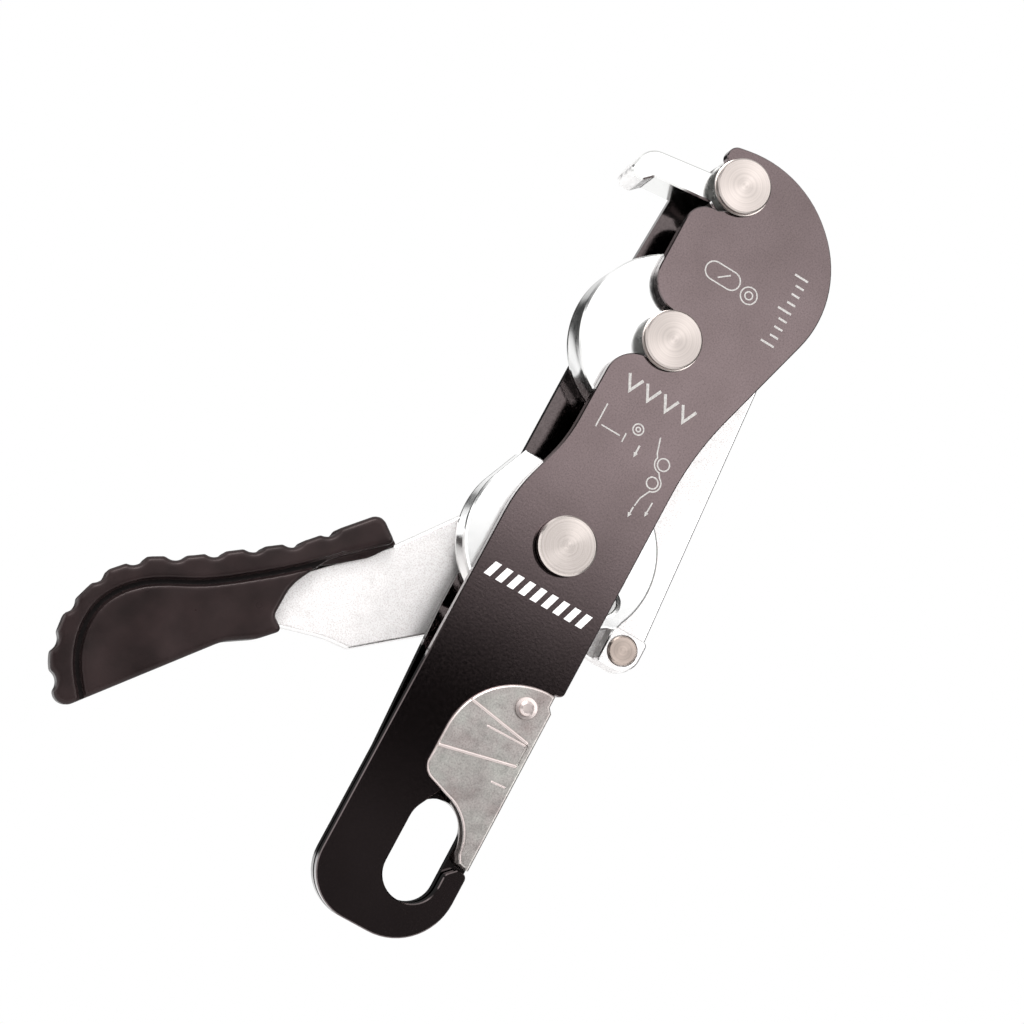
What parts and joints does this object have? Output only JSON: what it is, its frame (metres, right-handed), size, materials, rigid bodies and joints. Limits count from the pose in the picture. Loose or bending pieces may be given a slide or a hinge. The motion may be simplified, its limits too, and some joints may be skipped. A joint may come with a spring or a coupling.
{
  "type": "rope descender",
  "caption": "Self-braking rope descender: joggled side plates, pivoting cam with a squeeze lever, fixed bobbin, friction horn and a sprung gate at the attachment hole.",
  "frame": {"origin": "centre of the oblong attachment hole, in the plane of the front plate's outer face", "axes": "+Z along the body towards the friction horn, +X towards the gate side, +Y from the front plate to the rear plate"},
  "size_m": [0.1404, 0.0342, 0.2327],
  "materials": {
    "front_anodised": "dark anodised satin",
    "rear_anodised": "dark anodised satin",
    "turned_steel": "turned",
    "polished_bobbin": "polished",
    "polished_steel": "polished",
    "plain_steel": "plain",
    "spring_steel": "drawn wire",
    "zinc_sheet": "zinc plated",
    "bronze": "sintered",
    "blasted_lever": "bead blasted",
    "copper_steel": "turned, copper tinted",
    "grip_plastic": "moulded, slightly glossy"
  },
  "bodies": {
    "frame": {"rear_plate": "rear_anodised", "top_axle": "turned_steel", "upper_axle": "turned_steel", "lower_axle": "turned_steel", "upper_bobbin": "polished_bobbin", "friction_horn": "polished_steel", "locating_dowels": "plain_steel", "thrust_washer": "plain_steel", "retaining_clip": "spring_steel"},
    "side_plate": {"front_plate": "front_anodised", "gate_rivet": "plain_steel", "gate_spring": "spring_steel"},
    "gate": {"gate": "zinc_sheet"},
    "handle": {"brake_cam": "polished_bobbin", "cam_bush": "bronze", "return_spring": "spring_steel", "drive_pin": "plain_steel", "lever_plate": "blasted_lever", "lever_bush": "bronze", "keeper_block": "blasted_lever", "keeper_pin": "copper_steel", "handle_grip": "grip_plastic"}
  },
  "joints": [
    {"name": "lever_squeeze", "type": "hinge", "parent": "frame", "child": "handle", "pos_m": [-0.0055, 0.0125, 0.087], "axis": [0, -1, 0], "range_deg": [0, 30], "stiffness_Nm_per_rad": 0.3, "springref_deg": -34.38},
    {"name": "plate_swing", "type": "hinge", "parent": "frame", "child": "side_plate", "pos_m": [-0.0055, 0.00175, 0.087], "axis": [0, 1, 0], "range_deg": [0, 100]},
    {"name": "gate_open", "type": "hinge", "parent": "side_plate", "child": "gate", "pos_m": [0.0055, 0.00175, 0.0447], "axis": [0, 1, 0], "range_deg": [0, 24], "stiffness_Nm_per_rad": 0.01, "springref_deg": -45.84}
  ]
}
